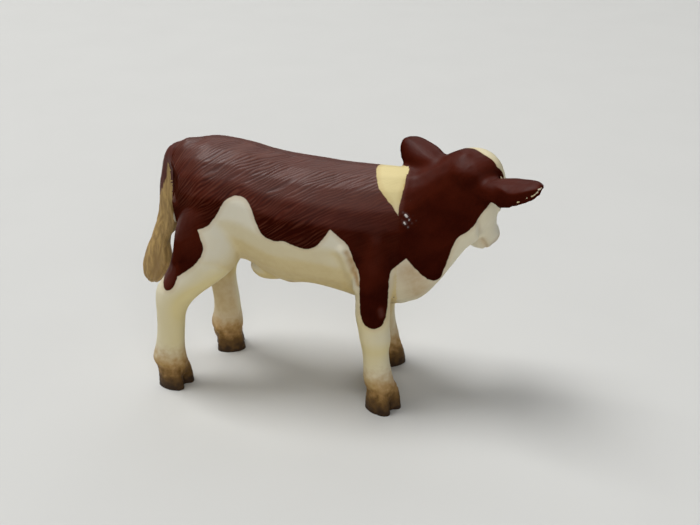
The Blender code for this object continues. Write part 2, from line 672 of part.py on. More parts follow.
def build():
    for name in (PART_NAME, "cutters"):
        bpy.context.scene.collection.children.link(bpy.data.collections.new(name))

    forms = [trunk_form(), navel_form(), neck_form(), *head_forms()]
    legs = {}
    for side, name in ((-1, "right"), (1, "left")):
        fore_step, hind_step = (LEFT_FORE_STEP, LEFT_HIND_STEP) if side > 0 else (0, 0)
        forms += leg_forms(
            FORE_LEG_SHARES, FORE_LINE_SHARE, FORE_HOOF_SHARE, FORE_TOE_OUT, side, fore_step
        )
        forms += leg_forms(
            HIND_LEG_SHARES, HIND_LINE_SHARE, HIND_HOOF_SHARE, HIND_TOE_OUT, side, hind_step
        )
        legs[name + "_foreleg"] = (
            FORE_SEAM_SHARES, FORE_ROOM_SHARES, FORE_PEG_SHARES, FORE_LINE_SHARE, side
        )
        legs[name + "_hindleg"] = (
            HIND_SEAM_SHARES, HIND_ROOM_SHARES, HIND_PEG_SHARES, HIND_LINE_SHARE, side
        )
    body = add_tool("cast_body", one_mesh("cast_body", forms))
    cast(body, CAST_GRAIN, FACES_KEPT_SHARE)

    trunk = add_piece("trunk", body.data.copy(), BROWN)
    below = CLAW_SHARES[-1][0] * POLL_HEIGHT - OVERRUN
    for name, (seam, room, peg_place, line, side) in legs.items():
        leg = add_piece(name, body.data.copy(), CREAM)
        block = leg_block(seam, room, line, side, 0, 0)
        combine(leg, "INTERSECT", name + "_block", block)
        place = leg_peg_axis(seam, peg_place, line, side)
        combine(leg, "UNION", name + "_peg", peg(LEG_PEG_DIAMETER, LEG_PEG_LENGTH, *place))
        settle(leg)
        room = leg_block(seam, room, line, side, below, SEAM_GAP)
        combine(trunk, "DIFFERENCE", name + "_room", room)
        hole = socket(LEG_PEG_DIAMETER, LEG_PEG_LENGTH, *place)
        combine(trunk, "DIFFERENCE", name + "_socket", hole)

    head = add_piece("head_and_neck", body.data.copy(), BROWN)
    combine(head, "INTERSECT", "head_block", neck_block(0))
    settle(head)
    combine(trunk, "DIFFERENCE", "head_room", neck_block(SEAM_GAP))
    settle(trunk)

    for side, name, lean in ((-1, "right_ear", RIGHT_EAR_LEAN), (1, "left_ear", LEFT_EAR_LEAN)):
        frame = ear_frame(side, lean)
        ear = add_piece(name, one_mesh(name, [ear_form(side, frame)]), BROWN)
        cast(ear, CAST_GRAIN, LIMB_FACES_KEPT_SHARE)
        trim_to(ear, head)
        trim_to(ear, trunk)
        into = -frame.col[0].to_3d()
        place = skin_point(head, frame.translation - into * EAR_LENGTH, into), into
        combine(ear, "UNION", name + "_peg", peg(SMALL_PEG_DIAMETER, SMALL_PEG_LENGTH, *place))
        settle(ear)
        hole = socket(SMALL_PEG_DIAMETER, SMALL_PEG_LENGTH, *place)
        combine(head, "DIFFERENCE", name + "_socket", hole)
    place = neck_peg_axis()
    combine(head, "UNION", "neck_peg", peg(NECK_PEG_DIAMETER, NECK_PEG_LENGTH, *place))
    settle(head)
    hole = socket(NECK_PEG_DIAMETER, NECK_PEG_LENGTH, *place)
    combine(trunk, "DIFFERENCE", "neck_socket", hole)

    tail = add_piece("tail", one_mesh("tail", [tail_form()]), TAN)
    cast(tail, CAST_GRAIN, LIMB_FACES_KEPT_SHARE)
    trim_to(tail, trunk)
    into = Vector((math.cos(TAIL_PEG_RISE), 0, math.sin(TAIL_PEG_RISE)))
    place = skin_point(trunk, tail_root() - into * TAIL_DEPTH, into), into
    combine(tail, "UNION", "tail_peg", peg(SMALL_PEG_DIAMETER, SMALL_PEG_LENGTH, *place))
    settle(tail)
    hole = socket(SMALL_PEG_DIAMETER, SMALL_PEG_LENGTH, *place)
    combine(trunk, "DIFFERENCE", "tail_socket", hole)
    settle(trunk)
    centre()


for thing in list(bpy.data.objects):
    bpy.data.objects.remove(thing)
build()
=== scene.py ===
"""A toy calf of painted PVC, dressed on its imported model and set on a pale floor.

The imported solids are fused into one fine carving, worked in millimetres. Hair, face and hooves
are carved into it by moving its points, the places of the paints are stored on it, and it is
then parted into the figure's bonded pieces along the seams that the solids give.
"""

import math
from functools import partial

import bmesh
import bpy
import numpy as np
from mathutils import Matrix, Vector
from mathutils.bvhtree import BVHTree


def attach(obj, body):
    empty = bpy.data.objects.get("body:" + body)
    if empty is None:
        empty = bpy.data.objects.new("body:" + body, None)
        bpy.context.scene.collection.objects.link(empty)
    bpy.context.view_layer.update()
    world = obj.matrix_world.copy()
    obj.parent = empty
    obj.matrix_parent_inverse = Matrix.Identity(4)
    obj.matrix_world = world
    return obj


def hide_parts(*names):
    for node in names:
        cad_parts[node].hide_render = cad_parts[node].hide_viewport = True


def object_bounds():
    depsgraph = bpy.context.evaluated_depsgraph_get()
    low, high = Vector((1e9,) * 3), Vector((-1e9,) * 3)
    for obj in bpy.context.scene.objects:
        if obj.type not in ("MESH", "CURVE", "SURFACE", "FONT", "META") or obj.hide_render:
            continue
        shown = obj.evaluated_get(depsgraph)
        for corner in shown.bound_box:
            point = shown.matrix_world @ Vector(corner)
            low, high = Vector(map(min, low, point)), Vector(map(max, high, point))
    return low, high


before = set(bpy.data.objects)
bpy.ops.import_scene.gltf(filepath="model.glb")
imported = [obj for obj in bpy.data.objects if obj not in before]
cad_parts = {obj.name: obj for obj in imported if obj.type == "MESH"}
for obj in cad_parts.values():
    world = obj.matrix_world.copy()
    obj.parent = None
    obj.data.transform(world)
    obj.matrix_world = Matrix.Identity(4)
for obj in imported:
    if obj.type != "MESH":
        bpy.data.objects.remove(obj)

bl_info = {
    "name": "Toy calf",
    "version": (1, 0, 0),
    "blender": (4, 5, 0),
    "location": "3D View > Sidebar > Toy calf",
    "description": "Carves and paints a small toy calf of PVC and sets it on a pale floor",
    "category": "Object",
}

CAD_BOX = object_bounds()
MM = 0.001
HEAD_NODE = "head_and_neck"
EARS = ("right_ear", "left_ear")
LEGS = ("right_foreleg", "left_foreleg", "right_hindleg", "left_hindleg")
NODES = ("trunk", HEAD_NODE, *EARS, "tail", *LEGS)
FAR = 50.0  # mm, stands for the distance to a solid that isn't near
BOND_NEAR = 0.55  # mm from both solids: the flat of a bond is fitted to the points so near
BOND_LEVEL = 0.30  # mm by which these points may lie nearer to one solid than to the other
BOND_ZONE = 1.6  # mm from both solids, in which the skin is cut along the bond
BOND_SNAP = 0.03  # mm, points so near to the cut are moved onto it
SOLE = 0.14  # mm, what lies lower than this is pressed flat
RGBA = {"data_type": "RGBA", "out": 2}  # settings of a node that mixes two colours
SOFT = {"interpolation_type": "SMOOTHSTEP"}  # and of a range with soft ends
STUDIO_LIGHT = 0.08  # strength of the light from all round
BACKDROP_SHARE = 0.62  # of the paper's tone, seen past the floor's edge
LAMP_AIM = (0.0, 0.0, 0.025)  # m, the middle of the calf
CAMERA_PLACE = (0.03472, -0.1628, 0.1100)  # m
CAMERA_DROP = 27  # degrees under the horizon
CAMERA_TURN = 10.82  # degrees
CAMERA_LENS = 51.43  # mm, for a sensor 36 mm wide

# The head's own frame, as in the solids: X to the muzzle, Y to its left, Z out of the forehead
HEAD_PLACE = (25.26, -1.0, 45.8)  # mm
HEAD_TURN = math.radians(74)
HEAD_DROP = math.radians(61)
HEAD_TILT = math.radians(14)

# Outlines of the brown coat on the right and the left side, in mm, as (x, z) from the tail to
# the throat along the lower edge. The upper edge of each is above the calf.
RIGHT_COAT = (
    (-45.0, 31.0), (-32.4, 28.4), (-30.5, 25.4), (-29.8, 23.8), (-29.6, 22.5), (-28.8, 21.7),
    (-27.4, 22.6), (-26.6, 24.2), (-26.3, 25.1), (-26.3, 25.1), (-24.5, 26.5), (-22.6, 28.1),
    (-21.1, 30.2), (-20.8, 31.8), (-21.4, 33.3), (-21.9, 34.7), (-21.9, 34.7), (-20.0, 35.4),
    (-18.4, 37.6), (-17.2, 40.1), (-16.1, 40.9), (-14.9, 41.2), (-13.4, 40.9), (-12.1, 39.3),
    (-11.2, 36.3), (-10.0, 34.3), (-8.2, 33.6), (-6.3, 33.9), (-5.1, 33.4), (-3.4, 32.7),
    (-1.6, 32.7), (0.0, 33.7), (1.9, 36.5), (1.9, 36.5), (3.3, 35.2), (4.8, 34.0), (5.5, 32.4),
    (6.3, 29.8), (7.1, 28.3), (7.2, 26.0), (7.2, 23.2), (7.5, 19.8), (8.8, 18.3), (11.0, 18.1),
    (12.0, 19.8), (12.2, 23.3), (12.3, 28.3), (12.5, 28.8), (12.5, 28.8), (15.0, 30.9),
    (15.0, 30.9), (17.4, 27.8), (18.7, 26.0), (20.2, 25.0), (20.9, 25.3), (21.3, 27.4),
    (21.9, 29.2), (22.7, 32.7), (23.7, 35.1), (25.4, 36.0), (27.1, 38.4), (28.8, 41.4),
    (31.4, 43.5), (45.0, 46.0),
)
LEFT_COAT = (
    (-45.0, 31.0), (-33.1, 27.0), (-29.6, 23.6), (-26.8, 23.4), (-24.6, 26.2), (-22.2, 30.4),
    (-19.6, 33.2), (-16.8, 33.8), (-14.4, 32.0), (-12.4, 29.2), (-9.8, 28.2), (-7.0, 29.8),
    (-5.0, 33.6), (-2.8, 37.4), (-0.2, 38.8), (2.2, 36.8), (4.0, 33.2), (5.4, 29.0), (6.4, 25.0),
    (8.0, 22.0), (10.0, 21.2), (11.8, 22.4), (13.0, 26.2), (14.8, 29.6), (17.0, 28.2),
    (19.0, 26.4), (20.4, 27.0), (21.0, 29.2), (22.0, 31.0), (24.4, 31.6), (45.0, 32.0),
)
SADDLE_RIGHT = (
    (8.2, 60.0), (8.3, 45.4), (8.9, 44.2), (9.6, 42.9), (11.2, 41.3), (12.4, 40.1), (13.3, 38.8),
    (13.4, 40.4), (13.7, 42.4), (14.1, 43.8), (15.0, 44.4), (15.2, 60.0),
)
SADDLE_LEFT = (
    (8.2, 60.0), (8.2, 45.6), (9.0, 44.0), (11.0, 42.4), (12.8, 41.8), (13.8, 42.8),
    (14.2, 44.6), (15.0, 45.6), (15.2, 60.0),
)
# How far the brown reaches down the face, in mm: height over the head's middle, place along it
FACE_EDGE = ((-11.0, 30.0), (-9.0, 14.0), (-7.0, 7.2), (-5.0, 5.4), (-2.7, 2.9), (-0.6, 2.4),
             (0.8, 1.2), (1.8, -1.4), (3.0, -2.9), (8.0, -3.4))
# Where the brown of the tail's outer side ends, as (z, x) in mm, and what is brown above
TAIL_EDGE = ((34.0, -38.0), (36.6, -32.3), (40.9, -30.6), (43.2, -30.0))
TAIL_TOP = 43.4
# How much the tail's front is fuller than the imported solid, as (z, height) in mm
TAIL_FRONT = ((19.0, 0.2), (21.0, 0.6), (23.0, 1.0), (24.5, 0.55), (26.0, 0.1), (28.3, 0.0),
              (29.3, 0.45), (31.0, 0.75), (33.0, 0.65), (36.0, 0.65), (41.0, 0.7), (43.0, 0.0))
# Strokes of the brush, in mm, from one end to the other with a radius: tan in the folds
STAINS = (
    ((4.8, -9.5, 32.4), (5.4, -9.2, 31.0), 0.55), ((5.4, -9.2, 31.0), (6.2, -9.1, 28.6), 0.80),
    ((6.2, -9.1, 28.6), (6.9, -9.6, 26.4), 0.60),
    ((-7.2, -5.0, 22.3), (-6.2, -2.0, 21.4), 1.1), ((13.5, -6.0, 39.6), (13.9, -3.4, 43.4), 0.20),
    ((4.4, 9.4, 31.0), (5.8, 9.2, 27.0), 0.70),
)
# Knees of the fore legs, where the brown is painted paler as a highlight and shines
KNEES = (
    ((11.1, -10.2, 21.8), (11.3, -10.1, 20.8), 0.9), ((10.0, 10.2, 21.8), (10.2, 10.1, 20.8), 0.9),
)
# A broad faint tan on both sides of the breast
BREAST = (
    ((15.5, -6.5, 28.5), (17.2, -4.6, 23.4), 3.0), ((15.5, 6.5, 28.5), (17.2, 4.6, 23.4), 3.0),
)
# Beads of milky glue on the neck's seam, and chips in the paint of the right ear's rim
GLUE = (
    ((14.5, -6.2, 38.9), (14.8, -6.2, 38.6), 0.26), ((14.4, -6.6, 37.6), (14.6, -6.6, 37.4), 0.27),
    ((15.2, -6.3, 38.1), (15.2, -6.3, 38.0), 0.20), ((14.1, -6.2, 39.5), (14.1, -6.2, 39.3), 0.17),
    ((15.8, -6.2, 38.8), (15.8, -6.3, 38.7), 0.15), ((15.1, -6.7, 36.9), (15.1, -6.7, 36.8), 0.17),
    ((15.0, -6.3, 39.3), (15.1, -6.2, 39.4), 0.13), ((14.0, -6.6, 38.2), (14.0, -6.6, 38.1), 0.14),
    ((15.7, -6.5, 37.6), (15.7, -6.5, 37.5), 0.16), ((16.4, -6.3, 38.0), (16.4, -6.3, 38.0), 0.12),
)
WORN = (
    ((36.0, -10.7, 46.2), (36.5, -10.4, 46.7), 0.17),
    ((36.6, -10.2, 47.0), (36.9, -10.0, 47.1), 0.15),
    ((37.1, -9.8, 47.2), (37.2, -9.6, 47.2), 0.14),
    ((35.6, -10.8, 46.0), (35.8, -10.8, 46.1), 0.13),
    ((34.8, -10.9, 45.6), (34.9, -10.9, 45.7), 0.12),
    ((33.4, -10.9, 44.8), (33.7, -10.9, 44.9), 0.15),
)
FLECKS = (((12.7, -5.3, 22.0), 0.17),)  # of dark paint on the breast
# The point of the elbow stands proud of the belly, with a fold behind it, on the right side
ELBOW = (((3.9, -9.6, 32.6), (5.1, -9.1, 29.4), 0.8), ((5.1, -9.1, 29.4), (5.9, -9.0, 25.0), 0.8))
ELBOW_FOLD = (
    ((2.6, -9.8, 31.5), (3.5, -9.3, 29.0), 0.7), ((3.5, -9.3, 29.0), (4.8, -6.8, 23.8), 0.7),
)
# Swellings, each with its radius and height in mm: the tail's head and the belly's end
SWELLINGS = (
    ((-28.7, 0.0, 45.0), (-26.6, 0.0, 46.5), 2.3, 0.95),
    ((-12.5, -1.2, 22.8), (-7.5, -1.6, 22.6), 2.2, 0.7),
)
LEFT_FORE_STEP = (-1.1, 0.0, 0.0)  # mm from the right elbow's place, mirrored, to the left one's
# Height of the fold along the back of the right ear, in mm, as (x, z). Its skin turns under there
EAR_FOLD = ((28.6, 45.9), (30.7, 45.8), (31.6, 45.5), (32.6, 45.7), (33.7, 46.2), (35.6, 46.8),
            (37.4, 47.2))
SOFT_SIDE = 1.6  # mm to each side of the middle over which one side's coat runs into the other

EYE = (6.4, 4.9, 0.5)  # mm in the head's frame, mirrored for the right eye
NOSTRIL = (17.3, 2.1, 1.1)
MOUTH = ((13.4, -3.5), (14.8, -3.2), (16.6, -2.8), (19.5, -2.4))  # mm: along, over the middle


def linear(hex_code):
    """A colour as Blender keeps it, from an sRGB hex code."""
    values = [int(hex_code[i:i + 2], 16) / 255 for i in (0, 2, 4)]
    return [v / 12.92 if v <= 0.04045 else ((v + 0.055) / 1.055) ** 2.4 for v in values]


def colour_property(name, description, hex_code):
    return bpy.props.FloatVectorProperty(
        name=name, description=description, default=linear(hex_code), subtype="COLOR", min=0, max=1
    )


def length_property(name, description, millimetres):
    return bpy.props.FloatProperty(
        name=name, description=description, default=millimetres * MM, unit="LENGTH", precision=5
    )


class CalfSizes(bpy.types.PropertyGroup):
    grain: length_property("Grain", "Side of the carving's smallest faces", 0.19)
    swell: length_property("Swell", "How far solids swell to fuse at their seams", 0.22)
    hair_pitch: length_property("Hair pitch", "From one carved stroke of hair to the next", 0.58)
    hair_length: length_property("Hair length", "Length of a carved stroke of hair", 3.2)
    hair_depth: length_property("Hair depth", "Depth of a carved stroke of hair", 0.15)
    strand_depth: length_property("Strand depth", "Depth of the strands of the tail", 0.16)
    eye: length_property("Eye", "Radius of an eye", 1.25)
    floor: length_property("Floor", "Width of the round floor", 1800)


class CalfColours(bpy.types.PropertyGroup):
    brown: colour_property("Brown", "Red-brown coat", "501C0F")
    # Deep brown is the thick paint, and also the painted shade in the grooves and on what looks
    # down
    thick_and_shaded_brown: colour_property("Deep brown", "Brown where thick, low or in a groove", "300D06")
    # This paler brown is the painted highlight on the ridges of the hair
    ridge_highlight_brown: colour_property("Worn brown", "Ridges of the hair, rubbed paler", "7A4C3A")
    # This grey is a sheen painted on the upper side
    painted_sheen_grey: colour_property("Dust", "Faint grey bloom of the paint on the back", "9C8478")
    cream: colour_property("Cream", "Cream coat", "DDD7C4")
    # The saddle's yellow also paints the shade of the cream on what looks down
    saddle: colour_property("Saddle", "Yellower cream of the saddle and the blaze", "DACA94")
    # The tan also paints the shade in the folds, on the inner legs and under the trunk
    tan: colour_property("Tan", "Tan wash in the folds and on the fetlocks", "A67A36")
    horn: colour_property("Horn", "Hooves", "765628")
    dark_horn: colour_property("Dark horn", "Hooves at the ground", "33210F")
    tail: colour_property("Tail", "Tan hair of the tail", "BC9C60")
    tail_shade: colour_property("Tail shade", "Hair of the tail between the strands", "86683A")
    eye: colour_property("Eye", "Eyes", "120C0A")
    nose: colour_property("Nose", "Nose and nostrils", "8C6656")
    # This milky white is the glue and also its painted glints
    glue_and_glint: colour_property("Glue", "Dried glue at the neck", "D6CFCB")
    floor: colour_property("Floor", "Floor", "CECECB")


def ease(value, low, high):
    """A share that rises smoothly from 0 at one value to 1 at another."""
    t = np.clip((value - low) / (high - low), 0, 1)
    return t * t * (3 - 2 * t)


def lattice_noise(points, seed):
    """Smooth noise from -1 to 1 at many points at once, one cell to a unit."""
    side = 32
    table = np.random.default_rng(seed).uniform(-1, 1, (side, side, side))
    cell = np.floor(points).astype(int)
    t = ease(points - cell, 0, 1)
    total = np.zeros(len(points))
    for corner in np.ndindex(2, 2, 2):
        index = (cell + corner) % side
        weight = np.prod(np.where(corner, t, 1 - t), axis=1)
        total += weight * table[index[:, 0], index[:, 1], index[:, 2]]
    return total


def outline_distance(points, outline):
    """Distance to a closed outline at many 2D points, positive inside."""
    corners = np.array(outline)
    nearest = np.full(len(points), FAR)
    inside = np.zeros(len(points), bool)
    for start, end in zip(corners, np.roll(corners, -1, axis=0)):
        side = end - start
        t = np.clip((points - start) @ side / max(side @ side, 1e-9), 0, 1)
        nearest = np.minimum(nearest, np.linalg.norm(points - start - t[:, None] * side, axis=1))
        crosses = (start[1] > points[:, 1]) != (end[1] > points[:, 1])
        with np.errstate(divide="ignore", invalid="ignore"):
            at = start[0] + (points[:, 1] - start[1]) * side[0] / side[1]
        inside ^= crosses & (points[:, 0] < at)
    return np.where(inside, nearest, -nearest)


def rounded_outline(outline, rounds=2):
    """An open outline with its corners cut, so that it runs as a brush does."""
    points = np.array(outline)
    for _ in range(rounds):
        quarter = points[:-1] * 0.75 + points[1:] * 0.25
        three = points[:-1] * 0.25 + points[1:] * 0.75
        between = np.stack([quarter, three], 1).reshape(-1, 2)
        points = np.concatenate([points[:1], between, points[-1:]])
    return points


def fetched(items, name, width=1, kind=float):
    """One property of all the items of a mesh, in a row for each where it is a vector."""
    values = np.zeros(len(items) * width, kind)
    items.foreach_get(name, values)
    return values if width == 1 else values.reshape(-1, width)


def head_matrix():
    turn = Matrix.Rotation(HEAD_TURN, 4, "Z") @ Matrix.Rotation(HEAD_DROP, 4, "Y")
    return Matrix.Translation(HEAD_PLACE) @ turn @ Matrix.Rotation(HEAD_TILT, 4, "X")


def in_frame(points, matrix):
    inverse = np.array(matrix.inverted())
    return points @ inverse[:3, :3].T + inverse[:3, 3]


def merged(node):
    """A node's mesh as one closed bmesh, in millimetres."""
    bm = bmesh.new()
    bm.from_mesh(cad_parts[node].data)
    bmesh.ops.remove_doubles(bm, verts=bm.verts, dist=1e-6)
    bmesh.ops.scale(bm, vec=Vector((1, 1, 1)) / MM, verts=bm.verts)
    bm.normal_update()
    return bm


class Carving:
    """The fused surface of the whole calf while it is worked on, with its points in numpy."""

    def __init__(self, sizes):
        self.trees = {}
        self.boxes = {}
        joined = bpy.data.meshes.new("calf_carving")
        together = bmesh.new()
        for node in NODES:
            bm = merged(node)
            self.trees[node] = BVHTree.FromBMesh(bm)
            places = np.array([vert.co for vert in bm.verts])
            self.boxes[node] = places.min(0), places.max(0)
            for vert in bm.verts:
                vert.co += vert.normal * (sizes.swell / MM)
            loose = bpy.data.meshes.new(node)
            bm.to_mesh(loose)
            bm.free()
            together.from_mesh(loose)
            bpy.data.meshes.remove(loose)
        together.to_mesh(joined)
        together.free()
        work = bpy.data.objects.new("calf_carving", joined)
        bpy.context.scene.collection.objects.link(work)
        fuse = work.modifiers.new("fuse", "REMESH")
        fuse.mode = "VOXEL"
        fuse.voxel_size = sizes.grain / MM * 1
        graph = bpy.context.evaluated_depsgraph_get()
        self.mesh = bpy.data.meshes.new_from_object(work.evaluated_get(graph))
        bpy.data.objects.remove(work)
        bpy.data.meshes.remove(joined)
        self.points = fetched(self.mesh.vertices, "co", 3)
        self.edges = fetched(self.mesh.edges, "vertices", 2, int)
        self.neighbours = np.bincount(self.edges.ravel(), minlength=len(self.points))
        self.even_out()
        self.points -= self.normals() * (sizes.swell / MM)
        self.measure()

    def around(self, values):
        """Mean of each point's neighbours."""
        start, end = self.edges.T
        size = len(self.points)
        total = np.bincount(start, values[end], size) + np.bincount(end, values[start], size)
        return total / self.neighbours

    def blurred(self, values, rounds):
        for _ in range(rounds):
            values = (values + self.around(values)) / 2
        return values

    def even_out(self, rounds=36):
        """Smooths the surface, each second step outwards, so that it keeps its volume."""
        for step in range(rounds):
            pull = 0.62 if step % 2 == 0 else -0.64
            means = np.stack([self.around(column) for column in self.points.T], 1)
            self.points += (means - self.points) * pull

    def normals(self):
        self.mesh.vertices.foreach_set("co", self.points.ravel())
        self.mesh.update()
        return fetched(self.mesh.vertex_normals, "vector", 3)

    def measure(self):
        """Finds how near each solid is to each point, and so which piece the point is of."""
        self.near = np.full((len(NODES), len(self.points)), FAR)
        reach = 1.2  # mm
        for row, node in enumerate(NODES):
            low, high = self.boxes[node]
            close = np.all((self.points > low - reach) & (self.points < high + reach), axis=1)
            for index in np.flatnonzero(close):
                found = self.trees[node].find_nearest(self.points[index])
                self.near[row, index] = found[3]
        self.piece = self.near.argmin(0)

    def of(self, *nodes):
        """Share of each point in some pieces, softened across their seams."""
        inside = np.isin(self.piece, [NODES.index(node) for node in nodes])
        return self.blurred(inside.astype(float), 8)

    def move(self, height):
        self.points += self.normals() * height[:, None]


def body_hair(points):
    """Where each point lies along and across the hair of the body, in mm."""
    x, y, z = points.T
    middle = 33.0  # mm, height of the barrel's middle
    girth = 10.5  # mm, mean radius of the barrel
    down = np.arctan2(np.abs(y), z - middle) * girth
    slope = 0.64 - 0.06 * ease(x, -14, 14)
    return np.stack([x, down + slope * x], 1)


def carve_hair(skin, sizes, coat):
    """Combed strokes of hair on the brown of the back and flanks, coarser low on the flank."""
    x, y, z = skin.points.T
    hair = body_hair(skin.points)
    pitch = sizes.hair_pitch / MM
    length = sizes.hair_length / MM
    depth = np.zeros(len(x))
    for share, grow, seed in ((1.0, 1.0, 3), (0.7, 1.9, 4)):
        cells = np.stack([
            hair[:, 0] / (length * grow), hair[:, 1] / (pitch * grow * 2.1), y / 9.0
        ], 1)
        drift = lattice_noise(cells, seed) * 0.85 + lattice_noise(cells * 1.9, seed + 30) * 0.35
        comb = 0.5 + 0.5 * np.cos((hair[:, 1] / (pitch * grow) + drift) * 2 * math.pi)
        where = 1.0 if grow == 1 else ease(33.5 - np.abs(z - 36.0), 30.5, 33.0)
        depth += share * where * comb ** 1.6 * (0.55 + 0.45 * lattice_noise(cells * 0.8, seed + 60))
    body = skin.of("trunk") + 0.10 * skin.of(HEAD_NODE)
    rump = 0.62 + 0.38 * ease(-x, -6, 22)
    above = 0.22 + 0.78 * ease(z, 28, 34)
    place = in_frame(skin.points, head_matrix())
    front = 1 - ease(place[:, 0], -3.0, 1.0) * ease(x, 16, 20)
    # It fades out low on the thigh and on the shoulder
    low = ease(-z, -41, -35)
    thigh = 1 - 0.85 * low * ease(-x, 9, 16)
    shoulder = 1 - 0.75 * low * ease(x, 1, 6)
    brown = 0.2 + 0.8 * ease(coat, -0.3, 0.4)
    combed = body * rump * above * front * thigh * shoulder * brown
    skin.move(-depth * combed * (sizes.hair_depth / MM))
    return np.column_stack([hair, depth * combed]), combed


def carve_tail(skin, sizes):
    """Long strands down the tail, wider and deeper in its tuft."""
    x, y, z = skin.points.T
    tail = skin.of("tail")
    middle = np.interp(z, [17.5, 24, 31, 39, 46], [-35.9, -34.8, -31.9, -30.9, -29.4])
    turn = np.arctan2(y, -(x - middle))
    cells = np.stack([
        turn * 2.3 + lattice_noise(skin.points / 3.0, 8) * 0.5, z / 7.0 + turn * 0.12, 0 * z
    ], 1)
    strand = 1 - ease(np.abs(lattice_noise(cells, 5)), 0, 0.30)
    fine = 1 - ease(np.abs(lattice_noise(cells * (2.1, 1.6, 1), 6)), 0, 0.35)
    swell = 0.45 + 0.55 * ease(-z, -36, -26)
    front = ease(skin.normals()[:, 0], 0.0, 0.9)
    fuller = np.interp(z, *np.array(TAIL_FRONT).T)
    strands = (strand + 0.5 * fine) * swell * (sizes.strand_depth / MM)
    skin.move(tail * (fuller * front - strands))
    return strand * tail


def carve_head(skin, sizes):
    """Eyes with their lids, nostrils, mouth and the folds round them."""
    matrix = head_matrix()
    place = in_frame(skin.points, matrix)
    head = skin.of(HEAD_NODE)
    radius = sizes.eye / MM
    x, y, z = place.T
    height = np.zeros(len(x))
    eye_mask = np.full(len(x), -FAR)
    for side in (-1, 1):
        rel = place - np.array(EYE) * (1, side, 1)
        flat = np.sqrt((rel[:, 0] * 0.80) ** 2 + (rel[:, 2] * 1.12) ** 2)
        facing = ease(side * y, 2.0, 3.2) * head
        lid = np.exp(-((flat - radius * 1.12) / 0.30) ** 2)
        fold = np.exp(-((flat - radius * 1.75) / 0.28) ** 2) * ease(rel[:, 2], -0.4, 0.8)
        brow = np.exp(-((rel[:, 0] + 0.6) / 2.2) ** 2 - ((rel[:, 2] - 1.9) / 0.9) ** 2)
        socket = np.exp(-(flat / (radius * 2.2)) ** 2)
        ball = np.sqrt(np.clip(1 - (flat / (radius * 0.95)) ** 2, 0, 1))
        height += facing * (0.24 * lid - 0.12 * fold + 0.30 * brow - 0.28 * socket + 0.34 * ball)
        eye_mask = np.maximum(eye_mask, np.where(facing > 0.3, radius * 0.95 - flat, -FAR))
        rel = place - np.array(NOSTRIL) * (1, side, 1)
        slot = np.sqrt((rel[:, 0] / 1.0) ** 2 + ((rel[:, 1] * side + rel[:, 0] * 0.3) / 0.55) ** 2
                       + (rel[:, 2] / 1.4) ** 2)
        rim = 0.16 * np.exp(-((slot - 1.5) / 0.5) ** 2)
        height += head * (rim - 0.55 * np.exp(-slot ** 2 * 1.6))
    line = np.interp(x, *np.array(MOUTH).T)
    front = ease(x, MOUTH[0][0] - 0.4, MOUTH[0][0] + 0.8)
    gap = np.exp(-((z - line) / 0.20) ** 2)
    lips = np.exp(-((z - line) / 0.75) ** 2)
    height += head * front * (0.20 * lips - 0.34 * gap)
    cheek = np.exp(-((x - 8.0) / 1.6) ** 2 - ((z + 3.4) / 2.0) ** 2)
    height += head * 0.08 * cheek
    skin.move(height)
    # Painted shade at the corners of the mouth
    mouth = head * front * (0.4 * np.exp(-((z - line) / 0.55) ** 2))
    nose = head * ease(x, 15.6, 17.4) * ease(z - line, 0.2, 1.0)
    return eye_mask, mouth, nose


def carve_ears(skin):
    """The skin of the right ear turns under along its fold. Both ears have a hollow front."""
    head_out = np.array(head_matrix())[:3, 0]
    for node in EARS:
        share = skin.of(node)
        chosen = skin.points[skin.piece == NODES.index(node)]
        middle = chosen.mean(0)
        out, across, through = np.linalg.svd(chosen - middle, full_matrices=False)[2]
        through = through if through @ head_out > 0 else -through
        rel = skin.points - middle
        front = ease(skin.normals() @ through, 0.2, 0.7)
        hollow = np.exp(-((rel @ across) / 1.7) ** 2 - ((rel @ out) / 3.6) ** 2)
        skin.move(-0.5 * share * front * hollow)
    x, _, z = skin.points.T
    share = skin.of("right_ear") * ease(x, 28.8, 30.6)
    below = np.interp(x, *np.array(EAR_FOLD).T) - z
    ridge = np.exp(-(below / 0.28) ** 2)
    dip = np.exp(-((below + 1.1) / 0.7) ** 2)
    back = ease(-skin.normals()[:, 1], 0.1, 0.5)
    skin.move(share * back * (0.05 * ridge - 0.08 * dip))
    skin.points[:, 1] += share * 0.46 * np.maximum(below, 0)
    drop = 0.16 + 0.26 * np.exp(-((x - 31.0) / 1.4) ** 2)
    skin.points[:, 2] -= share * np.maximum(below, 0) * drop


def carve_seam(skin):
    """A faint groove where the neck was bonded on, with beads of glue."""
    a, b = skin.near[NODES.index("trunk")], skin.near[NODES.index(HEAD_NODE)]
    groove = np.exp(-((a - b) / 0.30) ** 2) * (1 - ease(np.maximum(a, b), 0.5, 0.9))
    bead = strokes(skin.points, GLUE)
    skin.move(0.18 * bead - 0.05 * groove)
    return bead


def strokes(points, places):
    """A soft stroke from one end to the other at each of some places, as a share from 0 to 1."""
    total = np.zeros(len(points))
    for start, end, radius in places:
        start, side = np.array(start), np.array(end) - start
        t = np.clip((points - start) @ side / max(side @ side, 1e-9), 0, 1)
        distance = np.linalg.norm(points - start - t[:, None] * side, axis=1)
        total = np.maximum(total, np.exp(-(distance / radius) ** 2))
    return total


def carve_elbows(skin):
    """The point of each elbow, with a fold behind it."""
    left = (skin.points - LEFT_FORE_STEP) * (1, -1, 1)
    height = np.zeros(len(left))
    for points in (skin.points, left):
        height += 0.50 * strokes(points, ELBOW) - 0.18 * strokes(points, ELBOW_FOLD)
    skin.move(height)


